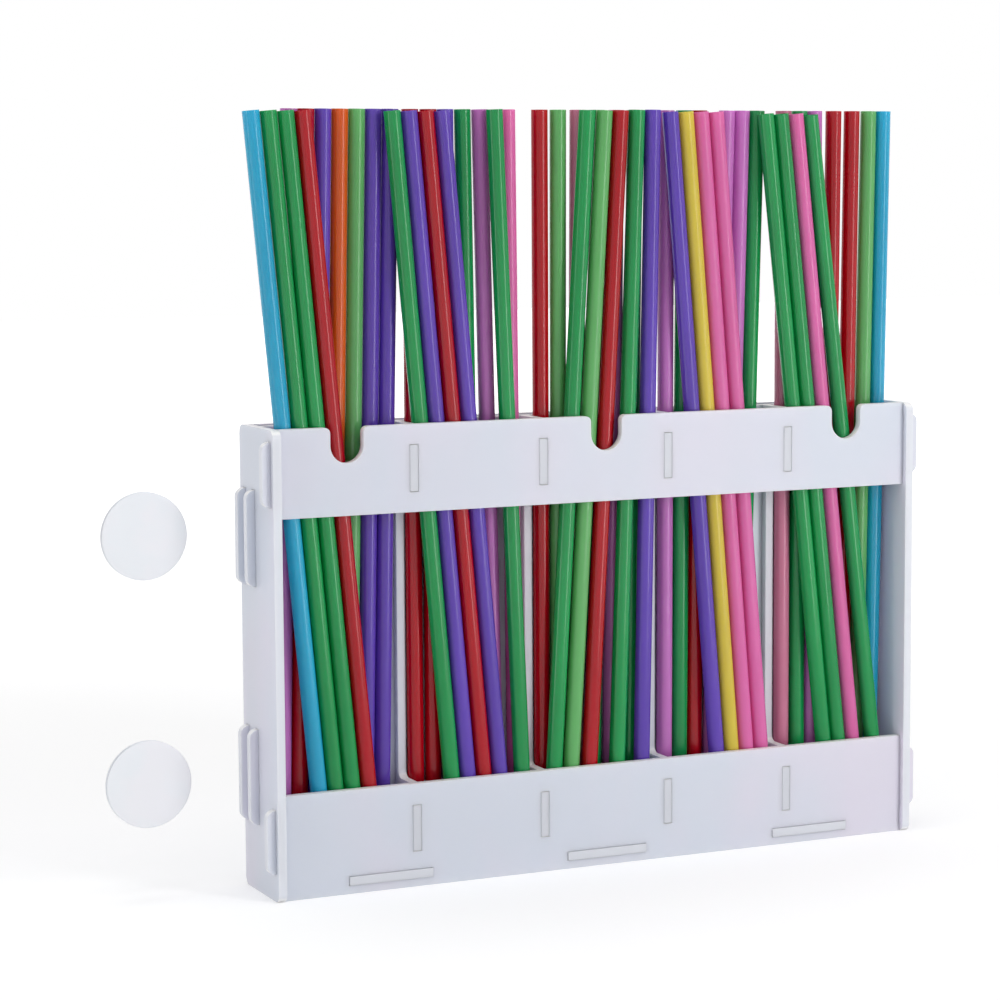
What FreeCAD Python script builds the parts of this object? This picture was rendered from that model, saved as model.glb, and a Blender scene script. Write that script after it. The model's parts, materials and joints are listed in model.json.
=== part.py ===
import FreeCAD, Part
import math
import os
import re

import Sketcher

# A flat-pack straw rack: frosted sheets joined by tabs and slots, five bays side by side, filled
# with loose drinking straws, and two loose adhesive pads. Millimetres, +Z up, front towards -Y.
# The origin is the middle of the lower front band's underside, on the surface under the rack.

DRIVING = {
    "rack_width": 250,  # over the outer faces of the side panels
    "rack_height": 160,
    "sheet": 3,  # every panel is cut from this sheet
    "bay_count": 5,
    "side_proud": 2.25,  # the side panels stand this far in front of the bands
    "side_corner": 3,
    "upper_band_height": 30,
    "lower_band_height": 36,
    "back_gap": 6,  # between the slotted back and the outer board
    "fit_gap": 0.15,  # play round a tab in its slot
    "tab_reach": 3,  # the side tabs stand out of the side panels by this much
    "front_tab_height": 22,
    "rear_tab_height": 33,
    "divider_tab_height": 16,
    "low_tab_drop": 15.5,  # from the lower band's top edge to the middles of its tabs and slots
    "high_tab_drop": 15,  # the same on the upper band
    "low_rear_tab_level": 40,
    "high_rear_tab_drop": 38,  # from the top edges of the backs to the middles of their upper tabs
    "spine_depth": 3,
    "window_corner": 2.5,
    "floor_level": 3,  # underside of the floor panel
    "floor_tab_width": 31,
    "floor_tab_spacing": 83,
    "floor_tab_proud": 0.4,
    "notch_width": 12,
    "notch_depth": 12.2,
    "notch_shoulder": 2,
    "pad_diameter": 30,
    "pad_thickness": 2.5,
    "pad_edge": 0.6,
    "pad_offset": 35,  # from the left side panel to the middles of the pads
    "low_pad_level": 38.5,
    "high_pad_drop": 36.5,  # from the rack's top to the middle of the upper pad
    "straw_diameter": 5.8,
    "straw_wall": 0.25,
    "straw_length": 260,
    "straw_play": 0.45,  # in front of, between and behind the two rows of a bay
    "straw_gap": 0.3,  # between neighbours of one row, and to the walls of their bay
    "foot_gap": 0.2,
}

# The straws of each bay, from the left. Each straw is (colour, foot, rim): where it stands and where
# it passes the rack's top edge, in steps of a straw and its gap from the middle of the bay. Foot, rim
# and upper end all step on by 1 or more along a row, so no two straws of it cross, and neighbouring
# bays whose straws lean over each other have them in different rows.
STRAWS = [
    {
        "front": [
            ("light_blue", -1.1, -3.4), ("green", -0.1, -2.4), ("green", 0.9, -1.4), ("red", 1.9, -0.4),
        ],
        "rear": [
            ("lilac", -3.4, -2.8), ("red", -2.4, -1.8), ("purple", -1.4, -0.8), ("orange", -0.4, 0.2),
            ("light_green", 0.6, 1.2), ("purple", 1.6, 2.2), ("purple", 2.6, 3.2),
        ],
    },
    {
        "front": [
            ("green", -1.0, -3.2), ("purple", 0.0, -2.2), ("red", 1.0, -1.2), ("purple", 2.0, -0.2),
            ("green", 3.2, 2.2),
        ],
        "rear": [
            ("red", -3.2, -3.2), ("red", -2.1, -2.1), ("purple", -0.9, -1.0), ("green", 0.5, 0.2),
            ("lilac", 1.9, 1.4), ("pink", 3.1, 2.9),
        ],
    },
    {
        "front": [
            ("green", -3.2, -1.7), ("light_green", -2.1, -0.6), ("red", -0.9, 0.5), ("green", 1.0, 1.9),
            ("purple", 2.7, 3.2),
        ],
        "rear": [
            ("red", -3.2, -3.2), ("light_green", -2.2, -2.1), ("rose", -1.1, -0.9), ("green", 0.1, 0.3),
            ("lilac", 1.2, 1.5), ("green", 2.4, 2.7),
        ],
    },
    {
        "front": [
            ("purple", 0.2, -1.9), ("yellow", 1.2, -0.9), ("pink", 2.2, 0.1), ("pink", 3.2, 1.1),
        ],
        "rear": [
            ("lilac", -3.2, -3.1), ("green", -2.2, -2.0), ("red", -1.2, -1.0), ("lilac", -0.2, 0.5),
            ("lilac", 0.8, 1.5), ("green", 1.8, 2.5),
        ],
    },
    {
        "front": [
            ("green", -0.3, -3.1), ("green", 0.7, -2.1), ("pink", 1.7, -1.1), ("green", 3.2, 0.1),
        ],
        "rear": [
            ("rose", -3.2, -3.2), ("green", -2.1, -2.1), ("lilac", -1.1, -1.1), ("red", -0.1, 0.1),
            ("red", 1.0, 1.3), ("light_green", 2.0, 2.4), ("light_blue", 3.0, 3.4),
        ],
    },
]

# The straw of each bay that is drawn out by itself, as its row and its place there.
DRAWN = [("rear", 4), ("front", 3), ("front", 2), ("front", 3), ("rear", 4)]

CLOSE = 1e-6  # two lengths this near to each other are the same
LEAST_CUT = 1  # cubic millimetres, less than any pocket here takes away
RING_RADIUS = 100  # of the ring that an outline is drawn on, before its corners are held

doc = FreeCAD.newDocument("straw_rack")
sizes = doc.addObject("Spreadsheet::Sheet", "Sizes")
for line, (alias, value) in enumerate(DRIVING.items(), start=1):
    sizes.set(f"A{line}", alias)
    sizes.set(f"B{line}", str(value))
    sizes.setAlias(f"B{line}", alias)
doc.recompute()

# Places that several pieces share, as expressions of the sheet. From front to rear the stack is:
# proud edge, band, two rows of straws, slotted back, gap, outer board, recess for the pads.
BAND_FRONT = "(-sheet / 2)"
BAND_REAR = "(sheet / 2)"
SIDE_FRONT = f"({BAND_FRONT} - side_proud)"
BACK_FRONT = f"({BAND_REAR} + 2 * straw_diameter + 3 * straw_play)"
BACK_REAR = f"({BACK_FRONT} + sheet)"
BOARD_FRONT = f"({BACK_REAR} + back_gap)"
SIDE_REAR = f"({BOARD_FRONT} + sheet + pad_thickness)"
INNER_RIGHT = "(rack_width / 2 - sheet)"
BAY_PITCH = f"(2 * {INNER_RIGHT} / bay_count)"
FLOOR_TOP = "(floor_level + sheet)"
UPPER_BAND_FOOT = "(rack_height - upper_band_height)"

LOW_LEVEL = "(lower_band_height - low_tab_drop)"
HIGH_LEVEL = "(rack_height - high_tab_drop)"
REAR_LEVELS = ("low_rear_tab_level", "(rack_height - high_rear_tab_drop)")

bay_count = int(sizes.bay_count)
subparts = {}


def bound(text):
    """Name the sheet before each alias of an expression."""
    return re.sub(r"[a-z_]+", lambda word: f"Sizes.{word.group(0)}", text)


def span(middle, length, gap=""):
    """The two ends of a stretch about its middle, widened by a gap at both."""
    half = f"{length} / 2" + (f" + {gap}" if gap else "")
    return f"({middle} - ({half}))", f"({middle} + ({half}))"


def rectangle(across, up):
    """The corners of a rectangle from its two ends each way."""
    (left, right), (low, high) = across, up
    return [(left, low), (right, low), (right, high), (left, high)]


# Sheet pieces: one sketch with the outline and the slots, padded by the sheet's thickness.


def new_sketch(body, name, role):
    sketch = body.newObject("Sketcher::SketchObject", name)
    plane = next(feature for feature in body.Origin.OriginFeatures if feature.Role == role)
    sketch.AttachmentSupport = [(plane, "")]
    sketch.MapMode = "FlatFace"
    return sketch


def hold(sketch, geometry, point, place):
    """Fix one point of the sketch at its place, a pair of expressions."""
    for axis, text in zip("XY", place):
        index = sketch.addConstraint(Sketcher.Constraint(f"Distance{axis}", -1, 1, geometry, point, 1.0))
        sketch.setExpression(f"Constraints[{index}]", bound(text))


def add_polygon(sketch, corners):
    """Draw a closed outline, first as a ring, and then hold each corner at its place."""
    first = sketch.GeometryCount
    count = len(corners)
    turns = [2 * math.pi * number / count for number in range(count + 1)]
    ring = [FreeCAD.Vector(math.cos(turn), math.sin(turn), 0) * RING_RADIUS for turn in turns]
    for start, end in zip(ring, ring[1:]):
        sketch.addGeometry(Part.LineSegment(start, end), False)
    for number in range(count):
        following = first + (number + 1) % count
        sketch.addConstraint(Sketcher.Constraint("Coincident", first + number, 2, following, 1))
    for number, corner in enumerate(corners):
        hold(sketch, first + number, 1, corner)


def add_circle(sketch, middle, radius):
    circle = Part.Circle(FreeCAD.Vector(0, 0, 0), FreeCAD.Vector(0, 0, 1), 1)
    geometry = sketch.addGeometry(circle, False)
    hold(sketch, geometry, 3, middle)
    index = sketch.addConstraint(Sketcher.Constraint("Radius", geometry, 1.0))
    sketch.setExpression(f"Constraints[{index}]", bound(radius))


def pad(body, sketch, thickness, role):
    """Pad towards +X, +Y or +Z. The normal of the XZ plane points to -Y, so it is reversed."""
    feature = body.newObject("PartDesign::Pad", f"{sketch.Name}_pad")
    feature.Profile = sketch
    feature.setExpression("Length", bound(thickness))
    feature.Reversed = role == "XZ_Plane"
    sketch.Visibility = False
    return feature


def pocket(body, sketch):
    """Cut right through the body, both ways from the sketch."""
    doc.recompute()
    volume = body.Shape.Volume
    feature = body.newObject("PartDesign::Pocket", f"{sketch.Name}_pocket")
    feature.Profile = sketch
    feature.Type = "ThroughAll"
    feature.Midplane = True
    sketch.Visibility = False
    doc.recompute()
    if body.Shape.Volume > volume - LEAST_CUT:
        raise SystemExit(f"{feature.Name} cuts nothing")


def round_edges(body, radius, picks):
    """Fillet those edges of the body's last feature that picks() takes."""
    doc.recompute()
    base = body.Tip
    names = [f"Edge{number}" for number, edge in enumerate(base.Shape.Edges, start=1) if picks(edge)]
    feature = body.newObject("PartDesign::Fillet", f"{base.Name}_round")
    feature.Base = (base, names)
    feature.setExpression("Radius", bound(radius))


def along(edge, axis):
    """Is this a straight edge that runs along the axis, 0, 1 or 2?"""
    if len(edge.Vertexes) < 2:
        return False
    start, end = [vertex.Point for vertex in edge.Vertexes]
    return all(abs(end[other] - start[other]) < CLOSE for other in range(3) if other != axis)


def sheet_piece(label, role, outline, slots=()):
    body = doc.addObject("PartDesign::Body", label)
    body.Label = label
    sketch = new_sketch(body, f"{label}_outline", role)
    for corners in [outline, *slots]:
        add_polygon(sketch, corners)
    pad(body, sketch, "sheet", role)
    subparts[label] = body
    return body


def put(body, axis, text):
    body.setExpression(f"Placement.Base.{axis}", bound(text))


# Front bands, slotted back and outer board: cross pieces with tabs through both side panels.


def cross_outline(foot, top, tab_height, levels):
    tip = "(rack_width / 2 + tab_reach)"
    side = [(INNER_RIGHT, foot)]
    for level in levels:
        low, high = span(level, tab_height)
        side += [(INNER_RIGHT, low), (tip, low), (tip, high), (INNER_RIGHT, high)]
    side.append((INNER_RIGHT, top))
    return side + [(f"-{across}", up) for across, up in reversed(side)]


def round_tab_tips(body):
    tip = sizes.rack_width / 2 + sizes.tab_reach

    def is_tip(edge):
        return along(edge, 1) and abs(abs(edge.Vertexes[0].X) - tip) < CLOSE

    round_edges(body, "tab_reach", is_tip)


def divider_middle(number):
    return f"({number} * {BAY_PITCH} - {INNER_RIGHT})"


def divider_slots(levels):
    return [
        rectangle(span(divider_middle(number), "sheet", "fit_gap"),
                  span(level, "divider_tab_height", "fit_gap"))
        for number in range(1, bay_count)
        for level in levels
    ]


def floor_slots():
    floor_middle = "(floor_level + sheet / 2)"
    return [
        rectangle(span(f"({step} * floor_tab_spacing)", "floor_tab_width", "fit_gap"),
                  span(floor_middle, "sheet", "fit_gap"))
        for step in (-1, 0, 1)
    ]


def cut_notches(band):
    """U-shaped finger notches in the top edge of every second bay, with rounded shoulders."""
    inner_right = sizes.rack_width / 2 - sizes.sheet
    straight_foot = "(rack_height - notch_depth + notch_width / 2)"
    middles = [f"(({bay} - 0.5) * {BAY_PITCH} - {INNER_RIGHT})" for bay in range(1, bay_count + 1, 2)]
    straight = new_sketch(band, "notch_walls", "XZ_Plane")
    ends = new_sketch(band, "notch_ends", "XZ_Plane")
    for middle in middles:
        add_polygon(straight, rectangle(span(middle, "notch_width"), (straight_foot, "rack_height")))
        add_circle(ends, (middle, straight_foot), "notch_width / 2")
    pocket(band, straight)
    pocket(band, ends)

    def is_shoulder(edge):
        point = edge.Vertexes[0].Point
        at_top = abs(point.z - sizes.rack_height) < CLOSE
        return along(edge, 1) and at_top and abs(point.x) < inner_right - CLOSE

    round_edges(band, "notch_shoulder", is_shoulder)


def make_bands():
    upper = sheet_piece("front_upper_band", "XZ_Plane",
                        cross_outline(UPPER_BAND_FOOT, "rack_height", "front_tab_height", [HIGH_LEVEL]),
                        divider_slots([HIGH_LEVEL]))
    lower = sheet_piece("front_lower_band", "XZ_Plane",
                        cross_outline("0", "lower_band_height", "front_tab_height", [LOW_LEVEL]),
                        divider_slots([LOW_LEVEL]) + floor_slots())
    for band in (upper, lower):
        put(band, "y", BAND_FRONT)
        round_tab_tips(band)
    cut_notches(upper)


def make_backs():
    outline = cross_outline("0", "rack_height", "rear_tab_height", REAR_LEVELS)
    slots = divider_slots([LOW_LEVEL, HIGH_LEVEL]) + floor_slots()
    back = sheet_piece("slotted_back_panel", "XZ_Plane", outline, slots)
    board = sheet_piece("outer_back_board", "XZ_Plane", outline)
    put(back, "y", BACK_FRONT)
    put(board, "y", BOARD_FRONT)
    for body in (back, board):
        round_tab_tips(body)


# Side panels, with a slot for every tab of the cross pieces.


def make_side_panels():
    tabs = [(BAND_FRONT, "front_tab_height", (LOW_LEVEL, HIGH_LEVEL))]
    tabs += [(front, "rear_tab_height", REAR_LEVELS) for front in (BACK_FRONT, BOARD_FRONT)]
    slots = [
        rectangle(span(f"({front} + sheet / 2)", "sheet", "fit_gap"), span(level, height, "fit_gap"))
        for front, height, levels in tabs
        for level in levels
    ]
    outline = rectangle((SIDE_FRONT, SIDE_REAR), ("0", "rack_height"))

    def is_corner(edge):
        level = edge.Vertexes[0].Z
        return along(edge, 0) and min(abs(level), abs(level - sizes.rack_height)) < CLOSE

    for label, left in (("left_side_panel", "-rack_width / 2"), ("right_side_panel", INNER_RIGHT)):
        panel = sheet_piece(label, "YZ_Plane", outline, slots)
        put(panel, "x", left)
        round_edges(panel, "side_corner", is_corner)


# Dividers: an arm behind each band, joined by a spine along the back, with tabs front and rear.


def make_dividers():
    low, high = [span(level, "divider_tab_height") for level in (LOW_LEVEL, HIGH_LEVEL)]
    spine_front = f"({BACK_FRONT} - spine_depth)"
    outline = [(BAND_REAR, FLOOR_TOP), (BACK_FRONT, FLOOR_TOP)]
    for foot, top in (low, high):
        outline += [(BACK_FRONT, foot), (BACK_REAR, foot), (BACK_REAR, top), (BACK_FRONT, top)]
    outline += [(BACK_FRONT, "rack_height"), (BAND_REAR, "rack_height")]
    outline += [(BAND_REAR, high[1]), (BAND_FRONT, high[1]), (BAND_FRONT, high[0]), (BAND_REAR, high[0])]
    outline += [(BAND_REAR, UPPER_BAND_FOOT), (spine_front, UPPER_BAND_FOOT)]
    outline += [(spine_front, "lower_band_height"), (BAND_REAR, "lower_band_height")]
    outline += [(BAND_REAR, low[1]), (BAND_FRONT, low[1]), (BAND_FRONT, low[0]), (BAND_REAR, low[0])]
    window_levels = (sizes.lower_band_height, sizes.rack_height - sizes.upper_band_height)

    def at_window(edge):
        return along(edge, 0) and min(abs(edge.Vertexes[0].Z - level) for level in window_levels) < CLOSE

    for number in range(1, bay_count):
        divider = sheet_piece(f"divider_{number}", "YZ_Plane", outline)
        doc.recompute()
        middle = divider.Shape.BoundBox.Center.y
        round_edges(divider, "window_corner", lambda edge: at_window(edge) and edge.Vertexes[0].Y > middle)
        put(divider, "x", f"{divider_middle(number)} - sheet / 2")


# Floor panel under the straws, with tabs through the lower band and the slotted back.


def make_floor():
    front_tip = f"({BAND_FRONT} - floor_tab_proud)"
    tabs = [span(f"({step} * floor_tab_spacing)", "floor_tab_width") for step in (-1, 0, 1)]
    front, rear = [], []
    for left, right in tabs:
        front += [(left, BAND_REAR), (left, front_tip), (right, front_tip), (right, BAND_REAR)]
        rear += [(left, BACK_FRONT), (left, BACK_REAR), (right, BACK_REAR), (right, BACK_FRONT)]
    left_end, right_end = f"(-{INNER_RIGHT})", INNER_RIGHT
    outline = [(left_end, BAND_REAR), *front, (right_end, BAND_REAR)]
    outline += [(right_end, BACK_FRONT), *reversed(rear), (left_end, BACK_FRONT)]
    floor = sheet_piece("floor_panel", "XY_Plane", outline)
    put(floor, "z", "floor_level")


# Loose adhesive pads. Their backs lie in the plane of the side panels' rear edges.


def make_pads():
    pads = {"adhesive_pad_lower": "low_pad_level", "adhesive_pad_upper": "rack_height - high_pad_drop"}
    for label, level in pads.items():
        body = doc.addObject("PartDesign::Body", label)
        body.Label = label
        sketch = new_sketch(body, f"{label}_outline", "XZ_Plane")
        add_circle(sketch, ("0", "0"), "pad_diameter / 2")
        pad(body, sketch, "pad_thickness", "XZ_Plane")
        round_edges(body, "pad_edge", lambda edge: len(edge.Vertexes) == 1)
        put(body, "x", "-rack_width / 2 - pad_offset")
        put(body, "y", f"{SIDE_REAR} - pad_thickness")
        put(body, "z", level)
        subparts[label] = body


# Straws: thin tubes that stand on the floor panel, in a front and a rear row in each bay.


def row_middle(row):
    radius_and_play = "straw_diameter / 2 + straw_play"
    return f"{BAND_REAR} + {radius_and_play}" if row == "front" else f"{BACK_FRONT} - ({radius_and_play})"


def from_middle(steps):
    return steps * (sizes.straw_diameter + sizes.straw_gap)


def clears_wall(bay, steps):
    """Is a straw at this place in its bay clear of the divider or side panel on that side?"""
    at_side_panel = bay == (bay_count if steps > 0 else 1)
    half_pitch = (sizes.rack_width / 2 - sizes.sheet) / bay_count
    wall = half_pitch if at_side_panel else half_pitch - sizes.sheet / 2
    return abs(from_middle(steps)) <= wall - sizes.straw_diameter / 2 - sizes.straw_gap


def make_straw(name, bay, row, foot, rim):
    outer = doc.addObject("Part::Cylinder", f"{name}_outer")
    bore = doc.addObject("Part::Cylinder", f"{name}_bore")
    outer.setExpression("Radius", bound("straw_diameter / 2"))
    bore.setExpression("Radius", bound("straw_diameter / 2 - straw_wall"))
    for cylinder in (outer, bore):
        cylinder.setExpression("Height", bound("straw_length"))
    tube = doc.addObject("Part::Cut", name)
    tube.Base = outer
    tube.Tool = bore
    lean = math.atan2(from_middle(rim - foot), sizes.rack_height - sizes.floor_level - sizes.sheet)
    tube.Placement.Rotation = FreeCAD.Rotation(FreeCAD.Vector(0, 1, 0), math.degrees(lean))
    put(tube, "x", f"({bay} - 0.5) * {BAY_PITCH} - {INNER_RIGHT} + {foot} * (straw_diameter + straw_gap)")
    put(tube, "y", row_middle(row))
    put(tube, "z", f"{FLOOR_TOP} + foot_gap + straw_diameter / 2 * {abs(math.sin(lean)):.6f}")
    return tube


def make_straws():
    """One node for the drawn straw of each bay, and one for each colour of the others."""
    for bay in range(1, bay_count + 1):
        mix = (bay - 1) % len(STRAWS)
        by_colour = {}
        for row, straws in STRAWS[mix].items():
            for number, (colour, foot, rim) in enumerate(straws):
                if not (clears_wall(bay, foot) and clears_wall(bay, rim)):
                    continue
                tube = make_straw(f"straw_{bay}_{row}_{number}", bay, row, foot, rim)
                if DRAWN[mix] == (row, number):
                    tube.Label = f"drawn_straw_{bay}"
                    subparts[tube.Label] = tube
                else:
                    by_colour.setdefault(colour, []).append(tube)
        for colour, tubes in by_colour.items():
            label = f"bay_{bay}_{colour}_straws"
            group = doc.addObject("Part::Compound", label)
            group.Label = label
            group.Links = tubes
            subparts[label] = group


def check_and_export():
    doc.recompute()
    for item in doc.Objects:
        if {"Invalid", "Error"} & set(item.State):
            raise SystemExit(f"{item.Label} failed: {item.State}")
    for label, item in subparts.items():
        if item.Shape.isNull() or not item.Shape.isValid():
            raise SystemExit(f"{label} has no valid shape")
    os.makedirs("parts", exist_ok=True)
    for label, item in subparts.items():
        item.Shape.exportStep(f"parts/{label}.step")
    print(f"{len(subparts)} nodes written")


make_side_panels()
make_bands()
make_backs()
make_floor()
make_dividers()
make_pads()
make_straws()
check_and_export()
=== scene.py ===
import json
import math
import bpy
from mathutils import Matrix, Vector

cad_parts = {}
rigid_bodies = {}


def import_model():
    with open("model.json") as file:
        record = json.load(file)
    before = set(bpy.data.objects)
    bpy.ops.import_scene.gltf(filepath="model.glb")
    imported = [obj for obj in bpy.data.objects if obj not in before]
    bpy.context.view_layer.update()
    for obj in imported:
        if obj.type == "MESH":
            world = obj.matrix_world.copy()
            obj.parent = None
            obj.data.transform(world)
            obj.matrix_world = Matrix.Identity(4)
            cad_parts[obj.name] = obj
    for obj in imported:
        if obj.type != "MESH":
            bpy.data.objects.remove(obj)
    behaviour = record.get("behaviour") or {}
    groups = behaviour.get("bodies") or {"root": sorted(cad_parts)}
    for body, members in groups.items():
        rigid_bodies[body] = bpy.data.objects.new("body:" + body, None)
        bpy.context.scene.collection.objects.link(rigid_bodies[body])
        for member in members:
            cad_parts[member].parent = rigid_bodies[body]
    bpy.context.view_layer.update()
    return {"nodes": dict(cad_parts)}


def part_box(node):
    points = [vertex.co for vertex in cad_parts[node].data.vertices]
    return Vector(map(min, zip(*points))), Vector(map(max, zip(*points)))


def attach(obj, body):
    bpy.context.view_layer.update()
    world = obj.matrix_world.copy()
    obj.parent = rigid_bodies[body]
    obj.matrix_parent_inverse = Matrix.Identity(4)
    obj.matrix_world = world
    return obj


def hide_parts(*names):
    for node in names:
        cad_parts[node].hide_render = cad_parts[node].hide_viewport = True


for spare in list(bpy.data.objects):  # Blender's own start-up cube, lamp and camera
    bpy.data.objects.remove(spare)
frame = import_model()
parts = frame["nodes"]
print("frame loaded:", len(parts), "parts")


def linear(red, green, blue):  # a colour as seen on screen, 0 to 255, to a shader's numbers
    values = [c / 255 for c in (red, green, blue)]
    return tuple(c / 12.92 if c <= 0.04045 else ((c + 0.055) / 1.055) ** 2.4 for c in values) + (1.0,)


# Effects that several finishes share

effects = {
    "faceStarts": 0.55, "faceFull": 0.97,  # how squarely a sheet's face looks along its axis
    "paintedHighlightStarts": 0.3, "paintedHighlightFull": 0.75,  # and an edge along the upright, which gets the painted highlight
    "cloudDetail": 3.0, "grainDetail": 2.0,
    "grainLow": 0.3, "grainHigh": 0.7,  # the noise between these spans the whole roughness
    "spread": (1, 1, 1),  # red, green and blue wander equally far in a material
}


def newGroup(name, inputs, outputs):
    group = bpy.data.node_groups.new(name, "ShaderNodeTree")
    for label, kind, value in inputs:
        socket = group.interface.new_socket(label, in_out="INPUT", socket_type=kind)
        socket.default_value = value
    for label, kind in outputs:
        group.interface.new_socket(label, in_out="OUTPUT", socket_type=kind)
    return group, group.nodes.new("NodeGroupInput"), group.nodes.new("NodeGroupOutput")


def addNode(tree, kind, inputs=(), **settings):  # inputs: (socket, value or another node's output)
    node = tree.nodes.new(kind)
    for key, value in settings.items():
        setattr(node, key, value)
    for socket, value in inputs:
        if isinstance(value, bpy.types.NodeSocket):
            tree.links.new(value, node.inputs[socket])
        else:
            node.inputs[socket].default_value = value
    return node


def mixColours(tree, amount, first, second):  # 6, 7 and 2 are the colour sockets of a Mix node
    mix = addNode(tree, "ShaderNodeMix", [("Factor", amount), (6, first), (7, second)], data_type="RGBA")
    return mix.outputs[2]


def facing(tree, normal, axis, low, high):  # 0 where the surface looks across the axis, 1 where along it
    along = addNode(tree, "ShaderNodeVectorMath", [(0, normal), (1, axis)], operation="DOT_PRODUCT")
    size = addNode(tree, "ShaderNodeMath", [(0, along.outputs["Value"])], operation="ABSOLUTE")
    mask = addNode(tree, "ShaderNodeMapRange",
                   [("Value", size.outputs[0]), ("From Min", low), ("From Max", high)],
                   interpolation_type="SMOOTHSTEP")
    return mask.outputs[0]


def makeCutEdge():  # masks: the two faces of a sheet, and its edges that look up or down, which get a painted highlight
    group, start, end = newGroup(
        "cutEdge", [("Face axis", "NodeSocketVector", (0, 1, 0))],
        [("Face", "NodeSocketFloat"), ("Level", "NodeSocketFloat")])
    normal = addNode(group, "ShaderNodeNewGeometry").outputs["Normal"]
    face = facing(group, normal, start.outputs["Face axis"], effects["faceStarts"], effects["faceFull"])
    highlightMask = facing(group, normal, (0, 0, 1), effects["paintedHighlightStarts"], effects["paintedHighlightFull"])
    group.links.new(face, end.inputs["Face"])
    group.links.new(highlightMask, end.inputs["Level"])
    return group


def stretched(group, start):  # the place on the object, stretched by the group's own input
    place = addNode(group, "ShaderNodeTexCoord")
    scaled = addNode(group, "ShaderNodeVectorMath",
                     [(0, place.outputs["Object"]), (1, start.outputs["Stretch"])], operation="MULTIPLY")
    return scaled.outputs[0]


def makeTintDrift():  # one colour drifting softly to a second over the surface
    group, start, end = newGroup(
        "tintDrift",
        [("Color", "NodeSocketColor", (1, 1, 1, 1)), ("Second color", "NodeSocketColor", (1, 1, 1, 1)),
         ("Scale", "NodeSocketFloat", 20.0), ("Stretch", "NodeSocketVector", (1, 1, 1)),
         ("Low", "NodeSocketFloat", 0.4), ("High", "NodeSocketFloat", 0.6)],
        [("Color", "NodeSocketColor")])
    cloud = addNode(group, "ShaderNodeTexNoise",
                    [("Vector", stretched(group, start)), ("Scale", start.outputs["Scale"]),
                     ("Detail", effects["cloudDetail"])])
    mask = addNode(group, "ShaderNodeMapRange",
                   [("Value", cloud.outputs["Fac"]), ("From Min", start.outputs["Low"]),
                    ("From Max", start.outputs["High"])])
    colour = mixColours(group, mask.outputs[0], start.outputs["Color"], start.outputs["Second color"])
    group.links.new(colour, end.inputs["Color"])
    return group


def makeFineGrain():  # a fine even grain as a height, with a roughness that wanders with it
    group, start, end = newGroup(
        "fineGrain",
        [("Scale", "NodeSocketFloat", 3000.0), ("Stretch", "NodeSocketVector", (1, 1, 1)),
         ("Roughness low", "NodeSocketFloat", 0.3), ("Roughness high", "NodeSocketFloat", 0.4)],
        [("Height", "NodeSocketFloat"), ("Roughness", "NodeSocketFloat")])
    grain = addNode(group, "ShaderNodeTexNoise",
                    [("Vector", stretched(group, start)), ("Scale", start.outputs["Scale"]),
                     ("Detail", effects["grainDetail"])])
    rough = addNode(group, "ShaderNodeMapRange",
                    [("Value", grain.outputs["Fac"]), ("From Min", effects["grainLow"]),
                     ("From Max", effects["grainHigh"]), ("To Min", start.outputs["Roughness low"]),
                     ("To Max", start.outputs["Roughness high"])])
    group.links.new(grain.outputs["Fac"], end.inputs["Height"])
    group.links.new(rough.outputs[0], end.inputs["Roughness"])
    return group


cutEdge, tintDrift, fineGrain = makeCutEdge(), makeTintDrift(), makeFineGrain()


def placeGroup(tree, group, **values):  # values: the group's inputs, with _ for a space
    node = addNode(tree, "ShaderNodeGroup", node_tree=group)
    for label, value in values.items():
        node.inputs[label.replace("_", " ")].default_value = value
    return node


def newFinish(name, **sockets):  # a Principled material with its constant sockets set
    material = bpy.data.materials.new(name)
    material.use_nodes = True
    shader = material.node_tree.nodes["Principled BSDF"]
    for label, value in sockets.items():
        shader.inputs[label.replace("_", " ")].default_value = value
    return material, material.node_tree, shader


def addGrain(tree, shader, strength, depth, **values):
    grain = placeGroup(tree, fineGrain, **values)
    bump = addNode(tree, "ShaderNodeBump",
                   [("Height", grain.outputs["Height"]), ("Strength", strength), ("Distance", depth)])
    tree.links.new(grain.outputs["Roughness"], shader.inputs["Roughness"])
    tree.links.new(bump.outputs[0], shader.inputs["Normal"])


print("effects ready")

# Frosted sheet of the rack

sheet = {
    "face": linear(214, 219, 231),  # cool white
    "warmPatch": linear(222, 218, 232),  # where it drifts to lilac
    "plainEdge": linear(222, 225, 234),  # the upright sawn edges
    "dividerEdge": linear(217, 220, 230),  # a little darker
    "paintedHighlightEdge": linear(252, 252, 254),  # painted highlight: those that look up or down are brighter
    "depth": 0.005,  # how far light wanders in it, m
    "through": 0.6,  # share of light that does
    "index": 1.49,
    "patchScale": 14.0, "patchStretch": (1, 1, 0.5), "patchLow": 0.45, "patchHigh": 0.65,
    "grainScale": 2600.0, "grainStrength": 0.12, "grainDepth": 0.00004,
    "roughLow": 0.36, "roughHigh": 0.46,
    "weld": 0.00001,  # joins doubled corners before the rounding, m
    "wideRound": 0.0004, "fineRound": 0.00015,  # edge rounding, m
    "roundSteps": 2, "roundFrom": 50,  # only edges that turn more than this, degrees
}


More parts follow.
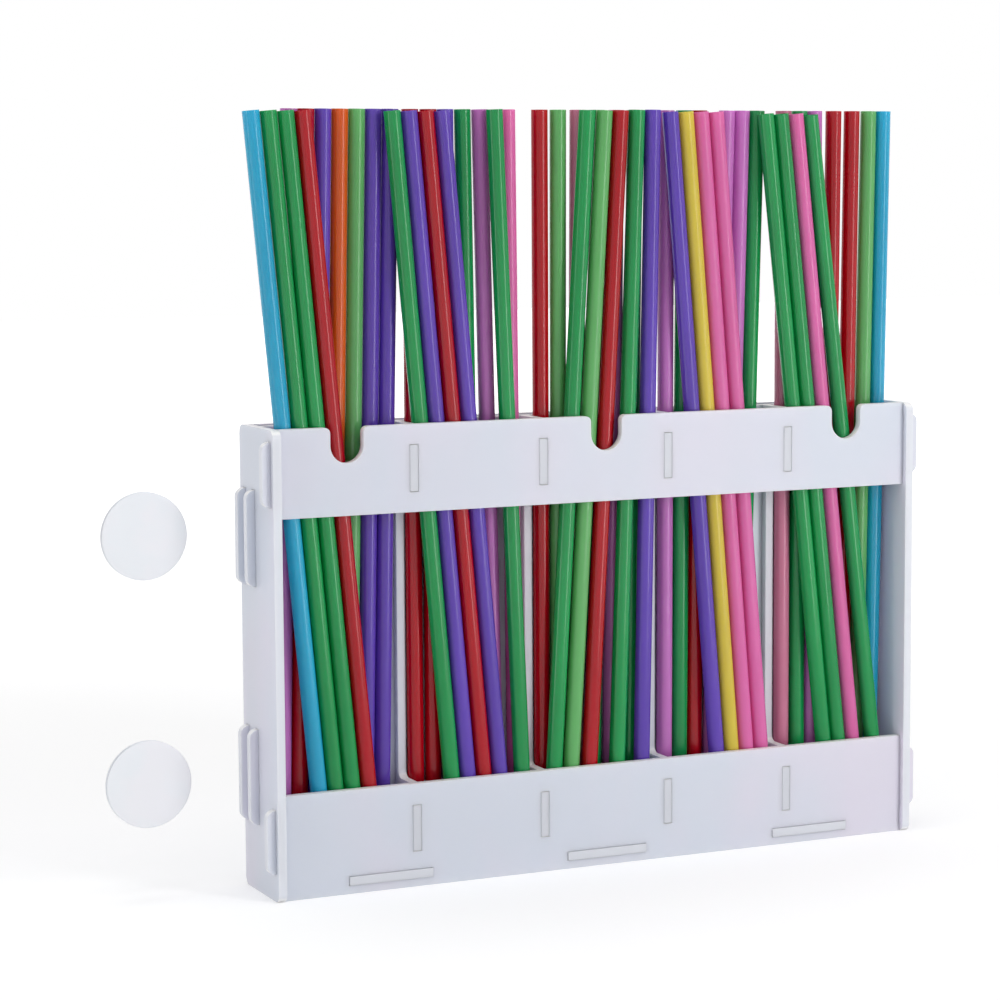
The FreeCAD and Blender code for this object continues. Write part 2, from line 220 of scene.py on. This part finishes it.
def frostedSheet(name, faceAxis, uprightEdge):
    material, tree, shader = newFinish(
        name, Subsurface_Weight=sheet["through"], Subsurface_Radius=effects["spread"],
        Subsurface_Scale=sheet["depth"], IOR=sheet["index"])
    drift = placeGroup(tree, tintDrift, Color=sheet["face"], Second_color=sheet["warmPatch"],
                       Scale=sheet["patchScale"], Stretch=sheet["patchStretch"], Low=sheet["patchLow"],
                       High=sheet["patchHigh"])
    masks = placeGroup(tree, cutEdge, Face_axis=faceAxis)
    # painted highlight: edges that look up or down turn near-white
    edge = mixColours(tree, masks.outputs["Level"], uprightEdge, sheet["paintedHighlightEdge"])
    colour = mixColours(tree, masks.outputs["Face"], edge, drift.outputs["Color"])
    tree.links.new(colour, shader.inputs["Base Color"])
    addGrain(tree, shader, sheet["grainStrength"], sheet["grainDepth"], Scale=sheet["grainScale"],
             Roughness_low=sheet["roughLow"], Roughness_high=sheet["roughHigh"])
    return material


sheetFinish = {
    "across": frostedSheet("frostedSheetAcross", (0, 1, 0), sheet["plainEdge"]),
    "side": frostedSheet("frostedSheetSide", (1, 0, 0), sheet["plainEdge"]),
    "divider": frostedSheet("frostedSheetDivider", (1, 0, 0), sheet["dividerEdge"]),
    "floor": frostedSheet("frostedSheetFloor", (0, 0, 1), sheet["plainEdge"]),
}
print("frosted sheet ready")

# Straws

straws = {
    "colours": {
        "light_blue_straw": (36, 180, 226), "green_straw": (24, 162, 86),
        "light_green_straw": (108, 188, 110), "lilac_straw": (214, 126, 208),
        "orange_straw": (232, 96, 24), "pink_straw": (248, 114, 182), "purple_straw": (106, 72, 192),
        "red_straw": (190, 2, 24), "rose_straw": (220, 130, 162), "yellow_straw": (236, 206, 72)},
    "deeper": 0.85,  # how much darker the pigment's clouds are
    "clear": 0.1,  # share of light that passes straight through the wall
    "glow": 0.7, "glowDepth": 0.001,  # share that wanders in the wall, and how far, m
    "index": 1.49, "shine": 0.36,
    "cloudScale": 90.0, "cloudStretch": (1, 1, 0.12), "cloudLow": 0.35, "cloudHigh": 0.65,
    "streakScale": 300.0, "streakStretch": (1, 1, 0.05),  # along the tube
    "roughLow": 0.14, "roughHigh": 0.2,
}


def strawPlastic(name, colour):
    material, tree, shader = newFinish(
        name, Transmission_Weight=straws["clear"], Subsurface_Weight=straws["glow"],
        Subsurface_Radius=effects["spread"], Subsurface_Scale=straws["glowDepth"], IOR=straws["index"],
        Specular_IOR_Level=straws["shine"])
    pigment = linear(*colour)
    deep = tuple(c * straws["deeper"] for c in pigment[:3]) + (1.0,)
    drift = placeGroup(tree, tintDrift, Color=pigment, Second_color=deep, Scale=straws["cloudScale"],
                       Stretch=straws["cloudStretch"], Low=straws["cloudLow"], High=straws["cloudHigh"])
    grain = placeGroup(tree, fineGrain, Scale=straws["streakScale"], Stretch=straws["streakStretch"],
                       Roughness_low=straws["roughLow"], Roughness_high=straws["roughHigh"])
    tree.links.new(drift.outputs["Color"], shader.inputs["Base Color"])
    tree.links.new(grain.outputs["Roughness"], shader.inputs["Roughness"])
    return material


strawFinish = {slot: strawPlastic(slot.replace("_straw", "Plastic"), colour)
               for slot, colour in straws["colours"].items()}
print("straw plastics ready:", len(strawFinish))

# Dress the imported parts

for name, part in parts.items():
    slot = part.material_slots[0]
    if slot.material.name.startswith("frosted_sheet"):
        kind = next((word for word in ("floor", "divider", "side") if word in name), "across")
        slot.material = sheetFinish[kind]
        weld = part.modifiers.new("joinCorners", "WELD")
        weld.merge_threshold = sheet["weld"]
        bevel = part.modifiers.new("softEdge", "BEVEL")
        bevel.width = sheet["fineRound" if "divider" in name or "floor" in name else "wideRound"]
        bevel.segments, bevel.limit_method = sheet["roundSteps"], "ANGLE"
        bevel.angle_limit = math.radians(sheet["roundFrom"])
        part.modifiers.new("evenShading", "WEIGHTED_NORMAL").keep_sharp = True
    elif slot.material.name in strawFinish:
        slot.material = strawFinish[slot.material.name]
print("parts dressed")

# Adhesive pads: a foam disc with a smooth film on each face

pads = {
    "film": linear(240, 243, 248), "filmCloud": linear(243, 243, 248),
    "filmRough": (0.4, 0.5), "filmGrain": 0.1,
    # painted shade: the foam rim is grey for the shade along the pad's rim
    "foam": linear(188, 190, 197), "foamCloud": linear(172, 174, 182),
    "foamRough": (0.6, 0.75), "foamGrain": 0.5,
    "glow": 0.2, "glowDepth": 0.001,  # share of light that wanders in it, and how far, m
    "cloudScale": 60.0, "cloudLow": 0.4, "cloudHigh": 0.6,
    "grainScale": 1800.0, "grainDepth": 0.00008,
    "turns": 128, "rimSteps": 6,
    "lip": 0.0003,  # thickness of the film, m
    "crown": 0.0002,  # the face rises this much to its middle
    "setBack": 0.0005,  # the foam's rim lies this far inside the film's
    "belly": 0.0002,  # and bulges this much
    "dome": [(0.0, 0.0), (0.5, 0.2), (0.85, 0.6)],  # shares of the radius, and of the crown
    # the film's edge: lips in from the radius, share of the crown, lips back
    "edge": [(3, 0.9, 0), (1, 1, 0), (0.3, 1, 0.2), (0, 1, 0.5), (0.3, 1, 0.8)],
    "sharpFrom": 60,  # degrees between faces
}


def padFinish(name, layer):  # layer: film or foam
    material, tree, shader = newFinish(name, Subsurface_Weight=pads["glow"],
                                       Subsurface_Radius=effects["spread"],
                                       Subsurface_Scale=pads["glowDepth"])
    drift = placeGroup(tree, tintDrift, Color=pads[layer], Second_color=pads[layer + "Cloud"],
                       Scale=pads["cloudScale"], Low=pads["cloudLow"], High=pads["cloudHigh"])
    tree.links.new(drift.outputs["Color"], shader.inputs["Base Color"])
    low, high = pads[layer + "Rough"]
    addGrain(tree, shader, pads[layer + "Grain"], pads["grainDepth"], Scale=pads["grainScale"],
             Roughness_low=low, Roughness_high=high)
    return material


def padProfile(radius, depth):  # (out from the axis, back), from the front's middle to the rear's
    lip, crown, foam, steps = pads["lip"], pads["crown"], radius - pads["setBack"], pads["rimSteps"]
    front = [(share * radius, rise * crown) for share, rise in pads["dome"]]
    front += [(radius - inward * lip, rise * crown + back * lip) for inward, rise, back in pads["edge"]]
    front.append((foam, crown + lip))
    reach = depth - 2 * (crown + lip)
    rim = [(foam + pads["belly"] * math.sin(math.pi * step / steps), crown + lip + reach * step / steps)
           for step in range(1, steps)]
    return front + rim + [(out, depth - back) for out, back in reversed(front)], len(front), len(rim)


def makePad(node, finishes):
    low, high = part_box(node)
    radius, depth = (high[0] - low[0]) / 2, high[1] - low[1]
    middle = [(a + b) / 2 for a, b in zip(low, high)]
    profile, frontCount, rimCount = padProfile(radius, depth)
    turns, last = pads["turns"], len(profile) - 1
    points = [(middle[0], low[1], middle[2])]
    for out, back in profile[1:-1]:
        for turn in range(turns):
            angle = 2 * math.pi * turn / turns
            across, up = out * math.cos(angle), out * math.sin(angle)
            points.append((middle[0] + across, low[1] + back, middle[2] + up))
    points.append((middle[0], high[1], middle[2]))
    film, foam = 0, 1  # places in finishes
    faces, marks = [], []
    for turn in range(turns):
        after = (turn + 1) % turns
        faces.append((0, 1 + turn, 1 + after))
        marks.append(film)
        for ring in range(last - 2):
            here, there = 1 + ring * turns, 1 + (ring + 1) * turns
            faces.append((here + turn, there + turn, there + after, here + after))
            marks.append(foam if frontCount - 2 <= ring < frontCount - 1 + rimCount else film)
        base = 1 + (last - 2) * turns
        faces.append((base + turn, len(points) - 1, base + after))
        marks.append(film)
    mesh = bpy.data.meshes.new(node)
    mesh.from_pydata(points, [], faces)
    for face, mark in zip(mesh.polygons, marks):
        face.use_smooth, face.material_index = True, mark
    for finish in finishes:
        mesh.materials.append(finish)
    mesh.set_sharp_from_angle(angle=math.radians(pads["sharpFrom"]))
    pad = bpy.data.objects.new(node.replace("adhesive_pad", "foam_pad"), mesh)
    bpy.context.collection.objects.link(pad)
    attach(pad, "rack")
    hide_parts(node)


padFinishes = [padFinish("padFilm", "film"), padFinish("padFoamPaintedShade", "foam")]
for node in ("adhesive_pad_upper", "adhesive_pad_lower"):
    makePad(node, padFinishes)
print("pads ready")

# Floor, lamps and camera

studio = {
    "floorSize": 8.0, "floorWhite": 0.86, "floorRough": 0.9,
    "floorBlue": 1.01, "floorClouds": 2.0,  # very faint clouds, a little bluer
    "nearLift": 0.26, "farLift": 0.9,  # brings the lit floor to white for the camera
    "nearEnds": 0.25, "farStarts": 1.4,  # from the rack, m
    "around": 0.55,  # even light from all sides
    "aim": (0, 0.01, 0.13),  # the rack's middle, which every lamp faces
    "stripTall": 1.2, "stripAway": 1.3, "stripHeight": 0.35,
    "rightTurn": -54, "rightWide": 0.26, "rightPower": 6.2,  # turns are from the camera's side, degrees
    "leftTurn": 56, "leftWide": 0.14, "leftPower": 2.0,
    "lowTall": 0.09, "lowWide": 0.05, "lowAway": 0.45, "lowHeight": 0.05,
    "rightLow": 0.12, "leftLow": 0.06,  # weak, only for the gloss of the straws' lower halves
    "topSize": 1.0, "topPower": 5.0, "topHeight": 1.3,
}
shot = {
    "place": (-0.4566, -0.9026, 0.2426), "turn": 24.75, "down": 6.334, "roll": -0.334,
    "lens": 104.28, "sensor": 36.0,
}


def seenRays(tree):  # 1 for rays that show a thing, 0 for those that light it
    rays = addNode(tree, "ShaderNodeLightPath")
    shown = rays.outputs["Is Camera Ray"]
    for label in ("Is Glossy Ray", "Is Transmission Ray"):
        either = addNode(tree, "ShaderNodeMath", [(0, shown), (1, rays.outputs[label])], operation="MAXIMUM")
        shown = either.outputs[0]
    return shown


def makeFloor():
    half = studio["floorSize"] / 2
    corners = [(-half, -half, 0), (half, -half, 0), (half, half, 0), (-half, half, 0)]
    mesh = bpy.data.meshes.new("floor")
    mesh.from_pydata(corners, [], [(0, 1, 2, 3)])
    floor = bpy.data.objects.new("floor", mesh)
    bpy.context.collection.objects.link(floor)
    material, tree, shader = newFinish("paleFloor", Roughness=studio["floorRough"], Specular_IOR_Level=0.0)
    grey = studio["floorWhite"]
    drift = placeGroup(tree, tintDrift, Color=(grey, grey, grey, 1),
                       Second_color=(grey, grey, grey * studio["floorBlue"], 1), Scale=studio["floorClouds"])
    tree.links.new(drift.outputs["Color"], shader.inputs["Base Color"])
    place = addNode(tree, "ShaderNodeTexCoord")
    away = addNode(tree, "ShaderNodeVectorMath", [(0, place.outputs["Object"])], operation="LENGTH")
    amount = addNode(tree, "ShaderNodeMapRange",
                     [("Value", away.outputs["Value"]), ("From Min", studio["nearEnds"]),
                      ("From Max", studio["farStarts"]), ("To Min", studio["nearLift"]),
                      ("To Max", studio["farLift"])], interpolation_type="SMOOTHSTEP")
    lift = addNode(tree, "ShaderNodeMath", [(0, seenRays(tree)), (1, amount.outputs[0])],
                   operation="MULTIPLY")
    shader.inputs["Emission Color"].default_value = (1, 1, 1, 1)
    tree.links.new(lift.outputs[0], shader.inputs["Emission Strength"])
    mesh.materials.append(material)


def makeWorld():
    world = bpy.data.worlds.new("studio")
    world.use_nodes = True
    bpy.context.scene.world = world
    tree = world.node_tree
    background = tree.nodes["Background"]
    background.inputs["Color"].default_value = (1, 1, 1, 1)
    strength = addNode(tree, "ShaderNodeMapRange",
                       [("Value", seenRays(tree)), ("To Min", studio["around"]), ("To Max", 1.0)])
    tree.links.new(strength.outputs[0], background.inputs["Strength"])


def makeLamp(name, place, power, wide, tall):
    lamp = bpy.data.lights.new(name, "AREA")
    lamp.shape, lamp.size, lamp.size_y, lamp.energy = "RECTANGLE", wide, tall, power
    holder = bpy.data.objects.new(name, lamp)
    holder.location = place
    holder.rotation_euler = (Vector(studio["aim"]) - Vector(place)).to_track_quat("-Z", "Y").to_euler()
    holder.visible_camera = False
    bpy.context.collection.objects.link(holder)


def makeStrip(name, turn, away, height, power, wide, tall):  # upright, turned to one side of the camera
    angle = math.radians(shot["turn"] + turn)
    makeLamp(name, (-math.sin(angle) * away, -math.cos(angle) * away, height), power, wide, tall)


def makeCamera():
    turn, down, roll = (math.radians(shot[key]) for key in ("turn", "down", "roll"))
    ahead = Vector((math.sin(turn) * math.cos(down), math.cos(turn) * math.cos(down), -math.sin(down)))
    right = ahead.cross(Vector((0, 0, 1))).normalized()
    up = right.cross(ahead)
    rolledRight = right * math.cos(roll) + up * math.sin(roll)
    rolledUp = up * math.cos(roll) - right * math.sin(roll)
    camera = bpy.data.objects.new("camera", bpy.data.cameras.new("camera"))
    camera.data.lens, camera.data.sensor_width = shot["lens"], shot["sensor"]
    camera.matrix_world = Matrix.LocRotScale(
        Vector(shot["place"]), Matrix((rolledRight, rolledUp, -ahead)).transposed().to_quaternion(), None)
    bpy.context.collection.objects.link(camera)
    bpy.context.scene.camera = camera


makeFloor()
makeWorld()
for side in ("left", "right"):
    turn = studio[side + "Turn"]
    makeStrip(side + "Strip", turn, studio["stripAway"], studio["stripHeight"], studio[side + "Power"],
              studio[side + "Wide"], studio["stripTall"])
    makeStrip(side + "LowStrip", turn, studio["lowAway"], studio["lowHeight"], studio[side + "Low"],
              studio["lowWide"], studio["lowTall"])
makeLamp("topPanel", (0, 0, studio["topHeight"]), studio["topPower"], studio["topSize"], studio["topSize"])
makeCamera()
bpy.context.scene.view_settings.view_transform = "Standard"
print("floor, lamps and camera ready")
